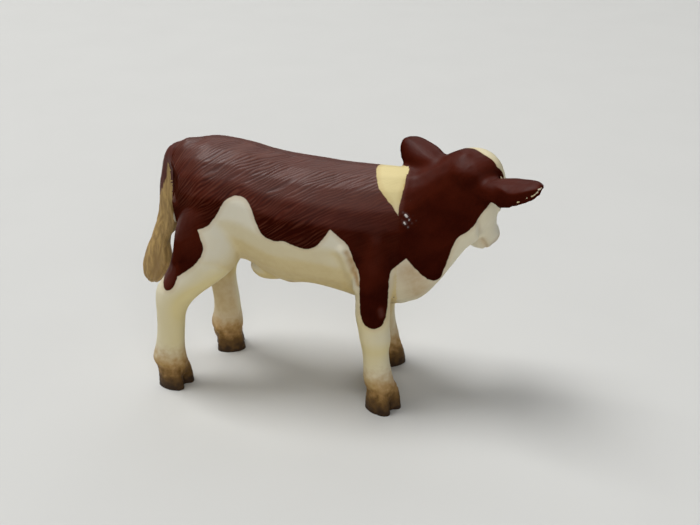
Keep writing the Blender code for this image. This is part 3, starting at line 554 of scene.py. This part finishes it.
def carve_rump(skin):
    """Fills out the tail's head and the belly's end, and flattens the rump behind the tail."""
    height = np.zeros(len(skin.points))
    for start, end, radius, rise in SWELLINGS:
        height += rise * strokes(skin.points, [(start, end, radius)])
    skin.move(height)
    x, _, z = skin.points.T
    behind = ease(z, 36.5, 39.0) * ease(-z, -44, -41.5) * skin.of("trunk")
    skin.points[:, 0] += 0.32 * np.maximum(-26.2 - x, 0) * behind


def ease_roots(skin):
    """Lets the skin run smoothly into the ears and the tail, as a sculptor's thumb does."""
    weight = np.zeros(len(skin.points))
    for body, limb in ((HEAD_NODE, "right_ear"), (HEAD_NODE, "left_ear"), ("trunk", "tail")):
        far = np.maximum(skin.near[NODES.index(body)], skin.near[NODES.index(limb)])
        weight = np.maximum(weight, np.exp(-(far / 1.3) ** 4))
    for _ in range(40):
        means = np.stack([skin.around(column) for column in skin.points.T], 1)
        skin.points += (means - skin.points) * weight[:, None] * 0.6


def carve_hooves(skin):
    """A groove where each hoof meets the skin, and faint rings below it."""
    z = skin.points[:, 2]
    legs = skin.of(*LEGS)
    groove = np.exp(-((z - 4.3) / 0.28) ** 2)
    rings = np.sin(z * 2 * math.pi / 0.9) * ease(-z, -3.9, -3.2)
    skin.move(legs * (0.014 * rings - 0.10 * groove))


def side_mix(right, left, y):
    return right + (left - right) * ease(y, -SOFT_SIDE, SOFT_SIDE)


def coat_distance(skin):
    """How deep inside the brown coat each point is, in mm, negative in the cream."""
    points = skin.points
    x, y, z = points.T
    flat = points[:, [0, 2]]
    sky = ((45.0, 60.0), (-45.0, 60.0))
    right = outline_distance(flat, [*rounded_outline(RIGHT_COAT), *sky])
    left = outline_distance(flat, [*rounded_outline(LEFT_COAT), *sky])
    brown = side_mix(right, left, y)
    saddle = side_mix(outline_distance(flat, SADDLE_RIGHT), outline_distance(flat, SADDLE_LEFT), y)
    trunk = skin.piece == NODES.index("trunk")
    brown = np.minimum(brown, np.where(trunk, -saddle, FAR))
    place = in_frame(points, head_matrix())
    edge = np.interp(place[:, 2], *np.array(FACE_EDGE).T)
    temple = ease(np.abs(place[:, 1]), 3.9, 4.8) * ease(place[:, 2], 1.2, 2.0)
    edge += 3.4 * temple + 0.35 * np.sin(place[:, 1] * 1.3) + 0.25 * np.sin(place[:, 2] * 1.9)
    head = skin.piece == NODES.index(HEAD_NODE)
    brown = np.minimum(brown, np.where(head, edge - place[:, 0], FAR))
    tail = np.maximum(np.interp(z, *np.array(TAIL_EDGE).T) - x, z - TAIL_TOP)
    brown = np.where(skin.piece == NODES.index("tail"), tail, brown)
    ears = np.isin(skin.piece, [NODES.index(node) for node in EARS])
    return np.where(ears, FAR, brown)


def yellow_paint_and_shade(skin, upward):
    """Where the cream is yellow: on the saddle and by half on the blaze as paint, and as painted
    shade on what looks down and lies low.
    """
    height = skin.points[:, 2]
    trunk = (skin.piece == NODES.index("trunk")) * (skin.points[:, 0] > 6)
    head = skin.piece == NODES.index(HEAD_NODE)
    # Painted shade: the cream is yellower the more it looks down and the lower it lies
    below = 0.85 * ease(-upward, -0.25, 0.4) + 0.35 * ease(-height, -27, -20)
    below = np.where(head, 0.3 * below, below)
    marks = ease(height, 37.0, 41.5) * trunk + 0.5 * ease(height, 43.0, 46.0) * head
    return np.clip(marks + below, 0, 1)


def creases(skin):
    """How hollow the surface is at each point, from 0 to 1, for the tan painted there, partly as a
    wash and partly as painted shade.
    """
    points = skin.points
    means = points.copy()
    for _ in range(24):
        means = (means + np.stack([skin.around(column) for column in means.T], 1)) / 2
    hollow = ((means - points) * skin.normals()).sum(1)
    return ease(skin.blurred(hollow, 4), 0.02, 0.16)


def store(mesh, name, values):
    kind = "FLOAT" if values.ndim == 1 else "FLOAT_VECTOR"
    layer = mesh.attributes.new(name, kind, "POINT")
    layer.data.foreach_set("value" if values.ndim == 1 else "vector", values.astype(float).ravel())


def seam_plane(skin, first, second):
    """The flat on which two pieces are bonded, from the points that lie near both solids."""
    a, b = skin.near[NODES.index(first)], skin.near[NODES.index(second)]
    ring = (a < BOND_NEAR) & (b < BOND_NEAR) & (np.abs(a - b) < BOND_LEVEL)
    points = skin.points[ring]
    middle = points.mean(0)
    normal = np.linalg.svd(points - middle, full_matrices=False)[2][2]
    solid = np.mean(skin.boxes[second], axis=0)
    if first == "trunk" and second in LEGS:  # a leg lies below its bond
        solid = middle - (0, 0, 5)
    normal = normal if normal @ (solid - middle) > 0 else -normal
    zone = (a < BOND_ZONE) & (b < BOND_ZONE)
    return Vector(middle), Vector(normal), zone


def settle_strays(bm, label):
    """Gives each small patch that is cut off from its own piece to the piece round it."""
    seen = set()
    patches = {}
    for face in bm.faces:
        if face.index in seen:
            continue
        seen.add(face.index)
        patch, border = [face], []
        for current in patch:
            for edge in current.edges:
                for other in edge.link_faces:
                    if other[label] != face[label]:
                        border.append(other[label])
                    elif other.index not in seen:
                        seen.add(other.index)
                        patch.append(other)
        patches.setdefault(face[label], []).append((patch, border))
    for found in patches.values():
        found.sort(key=lambda item: len(item[0]))
        for patch, border in found[:-1]:
            for face in patch:
                face[label] = max(border, key=border.count)


def cut_seams(skin):
    """Cuts the carving along the flat of each bond and marks every face with its piece."""
    mesh = skin.mesh
    corners = fetched(mesh.loops, "vertex_index", 1, int).reshape(-1, 4)
    bm = bmesh.new()
    bm.from_mesh(mesh)
    bm.faces.ensure_lookup_table()
    label = bm.faces.layers.int.new("piece")
    nearest = skin.near[:, corners].mean(2).argmin(0)
    for face, piece in zip(bm.faces, nearest.tolist()):
        face[label] = piece
    cuts = []
    pairs = [("trunk", HEAD_NODE), ("trunk", "tail")]
    pairs += [("trunk", leg) for leg in LEGS] + [(HEAD_NODE, ear) for ear in EARS]
    for first, second in pairs:
        middle, normal, zone = seam_plane(skin, first, second)
        rows = NODES.index(first), NODES.index(second)
        chosen = np.flatnonzero(zone[corners].all(1) & np.isin(nearest, rows))
        cuts.append((middle, normal, rows, [bm.faces[index] for index in chosen.tolist()]))
    for middle, normal, rows, chosen in cuts:
        faces = [face for face in chosen if face.is_valid]
        edges = {edge for face in faces for edge in face.edges}
        verts = {vert for face in faces for vert in face.verts}
        made = bmesh.ops.bisect_plane(
            bm, geom=[*verts, *edges, *faces], dist=BOND_SNAP, plane_co=middle, plane_no=normal,
            use_snap_center=True
        )
        for face in made["geom"]:
            if isinstance(face, bmesh.types.BMFace):
                above = (face.calc_center_median() - middle).dot(normal) > 0
                face[label] = rows[1] if above else rows[0]
    bm.faces.index_update()
    settle_strays(bm, label)
    bm.to_mesh(mesh)
    bm.free()


def carved(context):
    """The whole calf as one carved mesh in millimetres, made when it is first asked for."""
    mesh = bpy.data.meshes.get("calf_carving")
    if mesh:
        return mesh
    sizes = context.scene.calf_sizes
    skin = Carving(sizes)
    coat = coat_distance(skin)
    ease_roots(skin)
    carve_rump(skin)
    hair, combed = carve_hair(skin, sizes, coat)
    hair[:, 2] = np.maximum(hair[:, 2], carve_tail(skin, sizes))
    dark, mouth, nose = carve_head(skin, sizes)
    worn = strokes(skin.points, WORN)
    carve_ears(skin)
    carve_elbows(skin)
    bead = carve_seam(skin)
    carve_hooves(skin)
    low, high = (np.array(corner) / MM for corner in CAD_BOX)
    skin.points[skin.points[:, 2] < SOLE, 2] = 0
    skin.points = points = np.clip(skin.points, low, high)
    normals = skin.normals()
    mesh = skin.mesh
    upward = skin.blurred(normals[:, 2], 30)
    wash_and_shade = np.maximum(0.5 * creases(skin), 0.95 * strokes(points, STAINS))
    inward = -normals[:, 1] * np.sign(points[:, 1])
    # Painted shade: tan on the inner sides of the legs and under the trunk
    inner_shade = skin.of(*LEGS) * ease(inward, 0.1, 0.8)
    under = skin.of("trunk") * ease(-upward, -0.15, 0.6)
    shade_and_breast_tan = 0.50 * inner_shade + 0.36 * under + 0.60 * strokes(points, BREAST)
    wash_and_shade = np.maximum(wash_and_shade, shade_and_breast_tan)
    for place, radius in FLECKS:
        dark = np.maximum(dark, radius - np.linalg.norm(points - place, axis=1))
    store(mesh, "coat", coat)
    # Painted light: the brown is painted paler the more the skin looks up and deeper below, as
    # shade, and it is glossier on top
    facing = ease(upward, -0.2, 0.9) * (1 - 0.5 * skin.of(HEAD_NODE, *EARS))
    # The head and the neck are a less deep brown than the lower edge of the flank
    neck = ease(points[:, 0], 10, 20) * ease(points[:, 2], 26, 33)
    facing = np.maximum(facing, 0.24 * neck)
    # The knees get a painted highlight
    facing = np.maximum(facing, 0.6 * strokes(points, KNEES))
    store(mesh, "tone", np.column_stack([yellow_paint_and_shade(skin, upward), combed, facing]))
    store(mesh, "hair", hair)
    store(mesh, "face", np.column_stack([dark, mouth, nose]))
    store(mesh, "touches", np.column_stack([wash_and_shade, bead, worn]))
    store(mesh, "outwards", normals)
    cut_seams(skin)
    mesh.name = "calf_carving"
    return mesh


def taken_out(context, node):
    """One bonded piece of the carving, closed where it was cut, in metres."""
    bm = bmesh.new()
    bm.from_mesh(carved(context))
    cap = bm.faces.layers.int.new("bond")
    label = bm.faces.layers.int["piece"]
    row = NODES.index(node)
    others = [face for face in bm.faces if face[label] != row]
    bmesh.ops.delete(bm, geom=others, context="FACES")
    open_edges = [edge for edge in bm.edges if edge.is_boundary]
    caps = bmesh.ops.holes_fill(bm, edges=open_edges, sides=0)["faces"]
    caps = bmesh.ops.triangulate(bm, faces=caps)["faces"]
    for face in bm.faces:
        face.smooth = True
    for face in caps:
        face[cap] = 1
        face.smooth = False
    for edge in open_edges:
        edge.smooth = False
    bmesh.ops.scale(bm, vec=(MM, MM, MM), verts=bm.verts)
    mesh = bpy.data.meshes.new(node + "_painted")
    bm.to_mesh(mesh)
    bm.free()
    keep_normals(mesh)
    piece = bpy.data.objects.new(node + "_painted", mesh)
    context.scene.collection.objects.link(piece)
    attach(piece, "root")
    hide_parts(node)
    return piece


def keep_normals(mesh):
    """Lets the skin shade across the bonds as it did before it was parted."""
    rest = fetched(mesh.attributes["outwards"].data, "vector", 3)
    rest /= np.maximum(np.linalg.norm(rest, axis=1, keepdims=True), 1e-9)
    corners = fetched(mesh.loops, "vertex_index", 1, int)
    totals = fetched(mesh.polygons, "loop_total", 1, int)
    bonds = fetched(mesh.attributes["bond"].data, "value", 1, int)
    flats = fetched(mesh.polygons, "normal", 3)
    owner = np.repeat(np.arange(len(totals)), totals)
    normals = np.where(bonds[owner][:, None] == 1, flats[owner], rest[corners])
    mesh.normals_split_custom_set(normals.tolist())
    mesh.attributes.remove(mesh.attributes["outwards"])


def add_node(tree, kind, inputs=None, out=0, **settings):
    """Adds a shader node with its settings, its inputs set or linked, and gives one output.

    MapRange takes its value as 0, the range of that as 1 and 2 and the new range as 3 and 4.
    Mix takes its share as 0, and mixes 2 with 3, or the colours 6 with 7.
    """
    made = tree.nodes.new("ShaderNode" + kind)
    for name, value in settings.items():
        setattr(made, name, value)
    for socket, value in (inputs or {}).items():
        if isinstance(value, bpy.types.NodeSocket):
            tree.links.new(value, made.inputs[socket])
        else:
            made.inputs[socket].default_value = value
    return made.outputs[out]


def new_material(name):
    material = bpy.data.materials.new(name)
    material.use_nodes = True
    tree = material.node_tree
    return material, tree, tree.nodes["Principled BSDF"]


def colour(value):
    return (*value, 1.0)


def satin_painted_pvc(context):
    """Moulded PVC under thin satin paint, sprayed brown over cream.

    The paint is smooth and faintly oily, so broad soft highlights run along the back and break up
    on the carved hair, and a pale sheen is painted on the upper side. Cream shows where the brown
    is rubbed off, and tan lies in folds, partly as a wash and partly as painted shade.
    """
    name = "satin_painted_pvc"
    if name in bpy.data.materials:
        return bpy.data.materials[name]
    colours = context.scene.calf_colours
    material, tree, shader = new_material(name)
    add = partial(add_node, tree)
    place = add("TexCoord", out="Object")
    coat = add("Attribute", attribute_name="coat", out="Fac")
    hair = add("Attribute", attribute_name="hair", out="Vector")
    groove = add("SeparateXYZ", {0: hair}, out="Z")
    (yellow_or_shade, combed, facing), (wash_and_shade, bead, worn), (eye, mouth, nose) = (
        add("SeparateXYZ", {0: add("Attribute", attribute_name=stored, out="Vector")}).node.outputs
        for stored in ("tone", "touches", "face")
    )
    height = add("SeparateXYZ", {0: place}, out="Z")

    # The brush wavers by a tenth of a millimetre along the coat's edge
    waver = add("TexNoise", {"Vector": place, "Scale": 900, "Detail": 3})
    waver = add("Math", {0: waver, 1: 0.5}, operation="SUBTRACT")
    edge = add("Math", {0: waver, 1: 0.35, 2: coat}, operation="MULTIPLY_ADD")
    brown_paint = add("MapRange", {0: edge, 1: -0.08, 2: 0.10}, **SOFT)
    # Specks on the ear's rim are rubbed down to the pale PVC
    rubbed = add("Math", {0: waver, 1: 1.6, 2: worn}, operation="MULTIPLY_ADD")
    rubbed = add("MapRange", {0: rubbed, 1: 0.42, 2: 0.56})
    brown_paint = add("Math", {0: brown_paint, 1: rubbed}, operation="SUBTRACT", use_clamp=True)

    # Mottles 2 mm across where the brown was sprayed thick and thin. It is also painted darker as
    # shade in the grooves and on all that looks down
    mottle = add("TexNoise", {"Vector": place, "Scale": 260, "Detail": 4})
    mottle = add("MapRange", {0: mottle, 1: 0.36, 2: 0.66})
    thick_or_shaded = add("MapRange", {0: mottle, 1: 0.0, 2: 1.0, 3: 0.30, 4: 0.0})
    thick_or_shaded = add("Math", {0: groove, 1: 0.5, 2: thick_or_shaded}, operation="MULTIPLY_ADD")
    # Painted shade: the brown is deeper the less the skin looks up
    low = add("MapRange", {0: facing, 1: 0.0, 2: 0.65, 3: 0.95, 4: 0.0})
    thick_or_shaded = add("Math", {0: thick_or_shaded, 1: low}, operation="ADD", use_clamp=True)
    brown = add("Mix", {0: thick_or_shaded, 6: colour(colours.brown), 7: colour(colours.thick_and_shaded_brown)}, **RGBA)
    # Streaks 0.5 mm wide along the hair are paler, and the ridges between the grooves are painted
    # paler as a highlight
    streak_place = add("VectorMath", {0: hair, 1: (0.35, 2.0, 0.0)}, operation="MULTIPLY")
    streak = add("TexNoise", {"Vector": streak_place, "Scale": 1.0, "Detail": 2})
    ridge = add("MapRange", {0: groove, 1: 0.0, 2: 0.3, 3: 0.30, 4: 0.0})
    pale_streak = add("MapRange", {0: streak, 1: 0.40, 2: 0.62, 3: 0.25, 4: 1.0})
    ridge_highlight = add("Math", {0: ridge, 1: pale_streak}, operation="MULTIPLY")
    ridge_highlight = add("Math", {0: ridge_highlight, 1: combed}, operation="MULTIPLY")
    brown = add("Mix", {0: ridge_highlight, 6: brown, 7: colour(colours.ridge_highlight_brown)}, **RGBA)

    # A faint grey sheen is painted on the upper side, the more so the more the skin looks up
    painted_sheen = add("MapRange", {0: facing, 1: 0.55, 2: 1.0, 4: 0.06})
    brown = add("Mix", {0: painted_sheen, 6: brown, 7: colour(colours.painted_sheen_grey)}, **RGBA)

    # Cream is yellow on the saddle and the blaze, yellow as painted shade on the belly and all that
    # looks down, and faintly so in stains 4 mm across
    stain = add("TexNoise", {"Vector": place, "Scale": 170, "Detail": 3})
    stain = add("MapRange", {0: stain, 1: 0.40, 2: 0.75, 4: 0.30})
    stain = add("Math", {0: stain, 1: yellow_or_shade}, operation="MAXIMUM")
    cream = add("Mix", {0: stain, 6: colour(colours.cream), 7: colour(colours.saddle)}, **RGBA)
    # Tan in the folds, partly a wash and partly painted shade, tan as painted shade on the inner
    # legs and under the trunk, a tan wash round the fetlocks, and painted shade at the corners of
    # the mouth
    patchy = add("MapRange", {0: mottle, 1: 0.0, 2: 1.0, 3: 0.8, 4: 1.0})
    wash_and_shade = add("Math", {0: wash_and_shade, 1: patchy}, operation="MULTIPLY")
    dabs = add("MapRange", {0: waver, 1: -0.14, 2: 0.12, 3: 0.75, 4: 1.0})
    wash_and_shade = add("Math", {0: wash_and_shade, 1: dabs}, operation="MULTIPLY")
    ragged = add("Math", {0: waver, 1: 0.0045, 2: height}, operation="MULTIPLY_ADD")
    fetlock = add("MapRange", {0: ragged, 1: 0.0105, 2: 0.0045, 4: 0.85}, **SOFT)
    wash_and_shade = add("Math", {0: wash_and_shade, 1: fetlock}, operation="MAXIMUM")
    # A thin tan halo lies under the lower edge of the brown
    halo = add("MapRange", {0: coat, 1: -0.9, 2: 0.0, 4: 0.30})
    halo = add("Math", {0: halo, 1: dabs}, operation="MULTIPLY")
    wash_and_shade = add("Math", {0: wash_and_shade, 1: halo}, operation="MAXIMUM")
    wash_and_shade = add("Math", {0: wash_and_shade, 1: mouth}, operation="MAXIMUM")
    cream = add("Mix", {0: wash_and_shade, 6: cream, 7: colour(colours.tan)}, **RGBA)
    nose = add("Math", {0: nose, 1: 0.45}, operation="MULTIPLY")
    cream = add("Mix", {0: nose, 6: cream, 7: colour(colours.nose)}, **RGBA)
    # Hooves are horn brown, darker towards the ground
    down = add("MapRange", {0: ragged, 1: 0.0040, 2: 0.0004})
    horn = add("Mix", {0: down, 6: colour(colours.horn), 7: colour(colours.dark_horn)}, **RGBA)
    hoof = add("MapRange", {0: ragged, 1: 0.0062, 2: 0.0026}, **SOFT)
    cream = add("Mix", {0: hoof, 6: cream, 7: horn}, **RGBA)

    coat_colour = add("Mix", {0: brown_paint, 6: cream, 7: brown}, **RGBA)
    eye = add("MapRange", {0: eye, 1: -0.04, 2: 0.06})
    coat_colour = add("Mix", {0: eye, 6: coat_colour, 7: colour(colours.eye)}, **RGBA)
    # Dried glue is painted milky white where it lies thickest, partly as glue and partly as painted
    # glints of light
    milky_glint = add("Math", {0: waver, 1: 0.8, 2: bead}, operation="MULTIPLY_ADD")
    milky_glint = add("MapRange", {0: milky_glint, 1: 0.50, 2: 0.75, 4: 0.85})
    coat_colour = add("Mix", {0: milky_glint, 6: coat_colour, 7: colour(colours.glue_and_glint)}, **RGBA)
    tree.links.new(coat_colour, shader.inputs["Base Color"])

    rough = add("MapRange", {0: streak, 1: 0.30, 2: 0.70, 3: 0.40, 4: 0.54})
    rough = add("Mix", {0: brown_paint, 2: 0.52, 3: rough})
    rough = add("Mix", {0: bead, 2: rough, 3: 0.08})
    rough = add("Mix", {0: eye, 2: rough, 3: 0.10})
    tree.links.new(rough, shader.inputs["Roughness"])
    shader.inputs["IOR"].default_value = 1.50
    # The brown of the back has a soft shine, and below it hardly any. The cream has a little
    shine = add("MapRange", {0: facing, 1: 0.3, 2: 0.95, 3: 0.0, 4: 0.32})
    shine = add("Mix", {0: brown_paint, 2: 0.20, 3: shine})
    shine = add("Math", {0: shine, 1: bead}, operation="MAXIMUM")
    shine = add("Math", {0: shine, 1: eye}, operation="MAXIMUM")
    tree.links.new(shine, shader.inputs["Specular IOR Level"])
    # Orange peel of the spray, 0.25 mm, drawn coarser than it is so that it shows
    peel = add("TexNoise", {"Vector": place, "Scale": 2600, "Detail": 2})
    strand = add("Math", {0: streak, 1: combed}, operation="MULTIPLY")
    relief = add("Math", {0: strand, 1: 2.0, 2: peel}, operation="MULTIPLY_ADD")
    bump = add("Bump", {"Strength": 0.35, "Distance": 0.00005, "Height": relief})
    tree.links.new(bump, shader.inputs["Normal"])
    return material


def tan_painted_tail(context):
    """Moulded PVC under matte tan paint, painted darker between the strands as shade.

    Matte paint and painted shade in the grooves let each long strand read as a lock of hair.
    """
    colours = context.scene.calf_colours
    material, tree, shader = new_material("tan_pvc_with_painted_shade")
    add = partial(add_node, tree)
    place = add("TexCoord", out="Object")
    coat = add("Attribute", attribute_name="coat", out="Fac")
    strand = add("SeparateXYZ", {0: add("Attribute", attribute_name="hair", out="Vector")}, out="Z")
    # Streaks 0.4 mm wide that run down the hair
    long = add("VectorMath", {0: place, 1: (1.0, 1.0, 0.14)}, operation="MULTIPLY")
    streak = add("TexNoise", {"Vector": long, "Scale": 2200, "Detail": 3})
    shade = add("MapRange", {0: streak, 1: 0.38, 2: 0.66, 3: 0.75, 4: 0.0})
    # Painted shade in the grooves between the strands
    groove = add("Math", {0: strand, 1: 0.8}, operation="MULTIPLY")
    shade = add("Math", {0: shade, 1: groove}, operation="MAXIMUM")
    tan = add("Mix", {0: shade, 6: colour(colours.tail), 7: colour(colours.tail_shade)}, **RGBA)
    ragged = add("Math", {0: streak, 1: 0.5}, operation="SUBTRACT")
    ragged = add("Math", {0: ragged, 1: 1.2, 2: coat}, operation="MULTIPLY_ADD")
    brown = add("MapRange", {0: ragged, 1: -0.12, 2: 0.12}, **SOFT)
    tone = add("Mix", {0: brown, 6: tan, 7: colour(colours.brown)}, **RGBA)
    tree.links.new(tone, shader.inputs["Base Color"])
    rough = add("MapRange", {0: streak, 1: 0.3, 2: 0.7, 3: 0.48, 4: 0.66})
    tree.links.new(rough, shader.inputs["Roughness"])
    shader.inputs["IOR"].default_value = 1.50
    bump = add("Bump", {"Strength": 0.4, "Distance": 0.00006, "Height": streak})
    tree.links.new(bump, shader.inputs["Normal"])
    return material


class CalfPiece:
    """What the operators of the calf's pieces share."""

    bl_options = {"REGISTER", "UNDO"}
    paint = staticmethod(satin_painted_pvc)

    def execute(self, context):
        material = self.paint(context)
        for node in self.nodes:
            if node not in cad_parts:
                raise RuntimeError("the packed model has no node named " + node)
            piece = taken_out(context, node)
            piece.data.materials.append(material)
        return {"FINISHED"}


class CALF_OT_trunk(CalfPiece, bpy.types.Operator):
    """Add the trunk with its coat of hair"""
    bl_idname = "calf.trunk"
    bl_label = "Trunk"
    nodes = ("trunk",)


class CALF_OT_head(CalfPiece, bpy.types.Operator):
    """Add the head with the neck, its eyes, nostrils and mouth"""
    bl_idname = "calf.head"
    bl_label = "Head and neck"
    nodes = (HEAD_NODE,)


class CALF_OT_ears(CalfPiece, bpy.types.Operator):
    """Add both ears"""
    bl_idname = "calf.ears"
    bl_label = "Ears"
    nodes = EARS


class CALF_OT_legs(CalfPiece, bpy.types.Operator):
    """Add the four legs with their hooves"""
    bl_idname = "calf.legs"
    bl_label = "Legs"
    nodes = LEGS


class CALF_OT_tail(CalfPiece, bpy.types.Operator):
    """Add the tail with its strands of hair"""
    bl_idname = "calf.tail"
    bl_label = "Tail"
    nodes = ("tail",)
    paint = staticmethod(tan_painted_tail)


class CALF_OT_stage(bpy.types.Operator):
    """Set up the pale floor, the lamps and the camera"""
    bl_idname = "calf.stage"
    bl_label = "Stage"
    bl_options = {"REGISTER", "UNDO"}

    def execute(self, context):
        scene = context.scene
        bm = bmesh.new()
        bmesh.ops.create_circle(bm, cap_ends=True, segments=128, radius=scene.calf_sizes.floor / 2)
        mesh = bpy.data.meshes.new("floor")
        bm.to_mesh(mesh)
        bm.free()
        floor = bpy.data.objects.new("floor", mesh)
        scene.collection.objects.link(floor)
        material, tree, shader = new_material("matte_paper")
        # Plain pale paper, matte, with a tone that varies over centimetres
        place = add_node(tree, "TexCoord", out="Object")
        tone = add_node(tree, "TexNoise", {"Vector": place, "Scale": 40, "Detail": 2})
        paper = colour(scene.calf_colours.floor)
        shade = tuple(value * 0.96 for value in paper[:3]) + (1.0,)
        mixed = add_node(tree, "Mix", {0: tone, 6: paper, 7: shade}, **RGBA)
        tree.links.new(mixed, shader.inputs["Base Color"])
        shader.inputs["Roughness"].default_value = 0.9
        mesh.materials.append(material)

        world = bpy.data.worlds.new("soft_studio")
        scene.world = world
        world.use_nodes = True
        tree = world.node_tree
        light = tree.nodes["Background"]
        light.inputs["Color"].default_value = (1.0, 1.0, 1.0, 1.0)
        light.inputs["Strength"].default_value = STUDIO_LIGHT
        # Past the floor's edge the camera sees a plain backdrop in the paper's tone
        backdrop = add_node(tree, "Background", {0: paper, 1: BACKDROP_SHARE})
        seen = add_node(tree, "LightPath", out="Is Camera Ray")
        both = add_node(tree, "MixShader", {0: seen, 1: light.outputs[0], 2: backdrop})
        tree.links.new(both, tree.nodes["World Output"].inputs[0])
        lamps = (
            # name, place in m, side of the lamp in m, power in W
            ("key", (-0.60, 0.09, 1.56), 0.78, 24.3),
            ("fill", (0.60, -1.68, 1.02), 1.35, 13.5),
            ("back", (0.00, 1.26, 1.26), 1.35, 6.5),
        )
        for name, place, side, power in lamps:
            lamp = bpy.data.lights.new(name, "AREA")
            lamp.size = side
            lamp.energy = power
            holder = bpy.data.objects.new(name, lamp)
            holder.location = place
            aim = Vector(LAMP_AIM) - Vector(place)
            holder.rotation_euler = aim.to_track_quat("-Z", "Y").to_euler()
            scene.collection.objects.link(holder)

        camera = bpy.data.cameras.new("camera")
        camera.sensor_width = 36
        camera.lens = CAMERA_LENS
        camera.clip_start = 0.01
        holder = bpy.data.objects.new("camera", camera)
        holder.location = CAMERA_PLACE
        holder.rotation_euler = (math.radians(90 - CAMERA_DROP), 0, math.radians(CAMERA_TURN))
        scene.collection.objects.link(holder)
        scene.camera = holder
        scene.view_settings.view_transform = "Standard"
        return {"FINISHED"}


class CALF_PT_panel(bpy.types.Panel):
    bl_idname = "CALF_PT_panel"
    bl_label = "Toy calf"
    bl_space_type = "VIEW_3D"
    bl_region_type = "UI"
    bl_category = "Toy calf"

    def draw(self, context):
        for group in (context.scene.calf_sizes, context.scene.calf_colours):
            box = self.layout.box()
            for name in group.__annotations__:
                box.prop(group, name)
        for operator in OPERATORS:
            self.layout.operator(operator.bl_idname)


OPERATORS = (CALF_OT_trunk, CALF_OT_head, CALF_OT_ears, CALF_OT_legs, CALF_OT_tail, CALF_OT_stage)
CLASSES = (CalfSizes, CalfColours, *OPERATORS, CALF_PT_panel)


def register():
    for cls in CLASSES:
        bpy.utils.register_class(cls)
    bpy.types.Scene.calf_sizes = bpy.props.PointerProperty(type=CalfSizes)
    bpy.types.Scene.calf_colours = bpy.props.PointerProperty(type=CalfColours)


def unregister():
    del bpy.types.Scene.calf_colours
    del bpy.types.Scene.calf_sizes
    for cls in reversed(CLASSES):
        bpy.utils.unregister_class(cls)


def main():
    register()
    bpy.ops.calf.trunk()
    bpy.ops.calf.head()
    bpy.ops.calf.ears()
    bpy.ops.calf.legs()
    bpy.ops.calf.tail()
    bpy.data.meshes.remove(bpy.data.meshes["calf_carving"])
    bpy.ops.calf.stage()
    bpy.context.view_layer.update()


if __name__ == "__main__":
    main()
